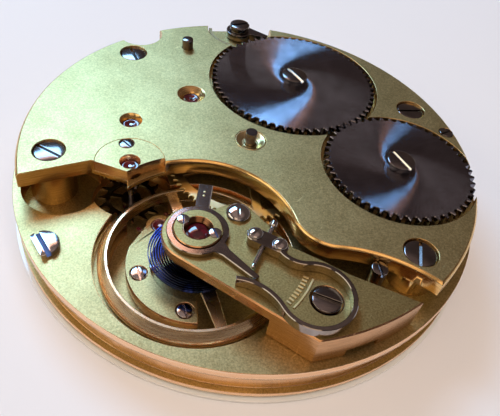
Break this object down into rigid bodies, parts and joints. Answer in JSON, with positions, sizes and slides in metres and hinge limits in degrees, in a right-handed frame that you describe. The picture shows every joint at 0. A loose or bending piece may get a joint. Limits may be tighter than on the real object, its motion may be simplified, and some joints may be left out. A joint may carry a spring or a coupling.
{
  "type": "pocket watch movement",
  "caption": "Open-face pocket watch movement with a three-quarter train bridge, lever escapement, swan-neck regulator, visible winding wheels and enamel dial, for fitting into a watch case.",
  "frame": {"origin": "centre of the dial's face, the lowest face", "axes": "+Z from the dial up to the bridges, +X towards the winding stem, +Y to the barrel's side"},
  "size_m": [0.0442, 0.0442, 0.0086],
  "materials": {
    "gilt": "frosted gilt",
    "brass": "polished brass",
    "steel": "dark polished steel",
    "bright_steel": "bright polished steel",
    "grey_steel": "flat grained steel",
    "snailed_steel": "double spiral snailing",
    "blued_steel": "heat blued",
    "ruby": "polished ruby",
    "enamel": "white enamel"
  },
  "bodies": {
    "frame": {"dial": "enamel", "main_plate": "gilt", "train_bridge": "gilt", "escape_cock": "gilt", "balance_cock": "gilt", "pallet_bridge": "gilt", "bridge_screws": "steel", "escape_cock_screw": "steel", "cock_screw": "steel", "pallet_bridge_screws": "bright_steel", "dog_screws": "bright_steel", "dial_screw": "steel", "detent_screw": "steel", "rim_pin": "steel", "upper_jewels": "ruby", "lower_jewels": "ruby", "centre_bush": "brass", "cap_plate": "gilt", "cap_jewel": "ruby", "cap_screws": "bright_steel", "swan_neck_spring": "grey_steel", "swan_neck_screws": "bright_steel", "hairspring": "blued_steel", "hairspring_stud": "steel", "stud_screw": "bright_steel", "click_screw": "steel", "click_spring": "brass", "crown_screw": "steel"},
    "winding": {"ratchet_wheel": "snailed_steel", "ratchet_screw": "steel", "barrel_arbor": "steel"},
    "crown": {"crown_wheel": "snailed_steel"},
    "winding_pinion": {"winding_pinion": "steel"},
    "clutch": {"sliding_clutch": "steel"},
    "click": {"click": "steel"},
    "barrel": {"barrel_drum": "brass", "barrel_cover": "brass", "mainspring": "steel"},
    "centre": {"centre_arbor": "steel", "centre_wheel": "brass", "cannon_pinion": "steel"},
    "third": {"third_arbor": "steel", "third_wheel": "brass"},
    "fourth": {"fourth_arbor": "steel", "fourth_wheel": "brass"},
    "escape": {"escape_arbor": "steel", "escape_wheel": "steel"},
    "lever": {"pallet_fork": "steel", "pallet_arbor": "steel", "pallet_stones": "ruby"},
    "balance": {"balance_wheel": "brass", "balance_staff": "steel", "roller": "steel", "collet": "brass"},
    "index": {"regulator_index": "grey_steel"},
    "micrometer": {"micrometer_screw": "bright_steel"},
    "minute": {"minute_wheel": "brass"},
    "hour": {"hour_wheel": "brass"}
  },
  "joints": [
    {"name": "fourth_spin", "type": "hinge", "parent": "frame", "child": "fourth", "pos_m": [-0.0115, -0.0002, 0], "axis": [0, 0, 1], "continuous": true},
    {"name": "third_spin", "type": "hinge", "parent": "frame", "child": "third", "pos_m": [-0.0068, 0.00551, 0], "axis": [0, 0, 1], "continuous": true},
    {"name": "centre_spin", "type": "hinge", "parent": "frame", "child": "centre", "pos_m": [0, 0, 0], "axis": [0, 0, 1], "continuous": true},
    {"name": "barrel_spin", "type": "hinge", "parent": "frame", "child": "barrel", "pos_m": [0.00327, 0.01098, 0], "axis": [0, 0, 1], "continuous": true},
    {"name": "escape_spin", "type": "hinge", "parent": "frame", "child": "escape", "pos_m": [-0.01, -0.0058, 0], "axis": [0, 0, 1], "continuous": true},
    {"name": "minute_spin", "type": "hinge", "parent": "frame", "child": "minute", "pos_m": [0.003, 0, 0], "axis": [0, 0, 1], "continuous": true},
    {"name": "hour_spin", "type": "hinge", "parent": "frame", "child": "hour", "pos_m": [0, 0, 0], "axis": [0, 0, 1], "continuous": true},
    {"name": "ratchet_spin", "type": "hinge", "parent": "frame", "child": "winding", "pos_m": [0.00327, 0.01098, 0], "axis": [0, 0, 1], "continuous": true},
    {"name": "crown_spin", "type": "hinge", "parent": "frame", "child": "crown", "pos_m": [0.01401, 0, 0], "axis": [0, 0, 1], "continuous": true},
    {"name": "winding_pinion_spin", "type": "hinge", "parent": "frame", "child": "winding_pinion", "pos_m": [0.0182, 0, 0.00475], "axis": [1, 0, 0], "continuous": true},
    {"name": "clutch_slide", "type": "slide", "parent": "frame", "child": "clutch", "axis": [-1, 0, 0], "range_m": [0, 0.001]},
    {"name": "click_lift", "type": "hinge", "parent": "frame", "child": "click", "pos_m": [-0.0039, 0.01975, 0], "axis": [0, 0, 1], "range_deg": [0, 10]},
    {"name": "lever_swing", "type": "hinge", "parent": "frame", "child": "lever", "pos_m": [-0.00652, -0.00882, 0], "axis": [0, 0, 1], "range_deg": [-5, 5]},
    {"name": "balance_swing", "type": "hinge", "parent": "frame", "child": "balance", "pos_m": [-0.00269, -0.01215, 0], "axis": [0, 0, 1], "range_deg": [-270, 270]},
    {"name": "index_swing", "type": "hinge", "parent": "frame", "child": "index", "pos_m": [-0.00269, -0.01215, 0], "axis": [0, 0, 1], "range_deg": [-3, 4]},
    {"name": "micrometer_slide", "type": "slide", "parent": "frame", "child": "micrometer", "axis": [0.2419, 0.9703, 0], "range_m": [-0.00031, 0.00041]}
  ],
  "couplings": [
    {"joint": "third_spin", "follows": "fourth_spin", "ratio": -0.13333},
    {"joint": "centre_spin", "follows": "fourth_spin", "ratio": 0.016667},
    {"joint": "barrel_spin", "follows": "fourth_spin", "ratio": -0.0033333},
    {"joint": "escape_spin", "follows": "fourth_spin", "ratio": -10},
    {"joint": "minute_spin", "follows": "fourth_spin", "ratio": -0.0055556},
    {"joint": "hour_spin", "follows": "fourth_spin", "ratio": 0.0013889},
    {"joint": "crown_spin", "follows": "ratchet_spin", "ratio": -1.26},
    {"joint": "winding_pinion_spin", "follows": "ratchet_spin", "ratio": 3.9375},
    {"joint": "index_swing", "follows": "micrometer_slide", "rad_per_m": 167.37}
  ]
}
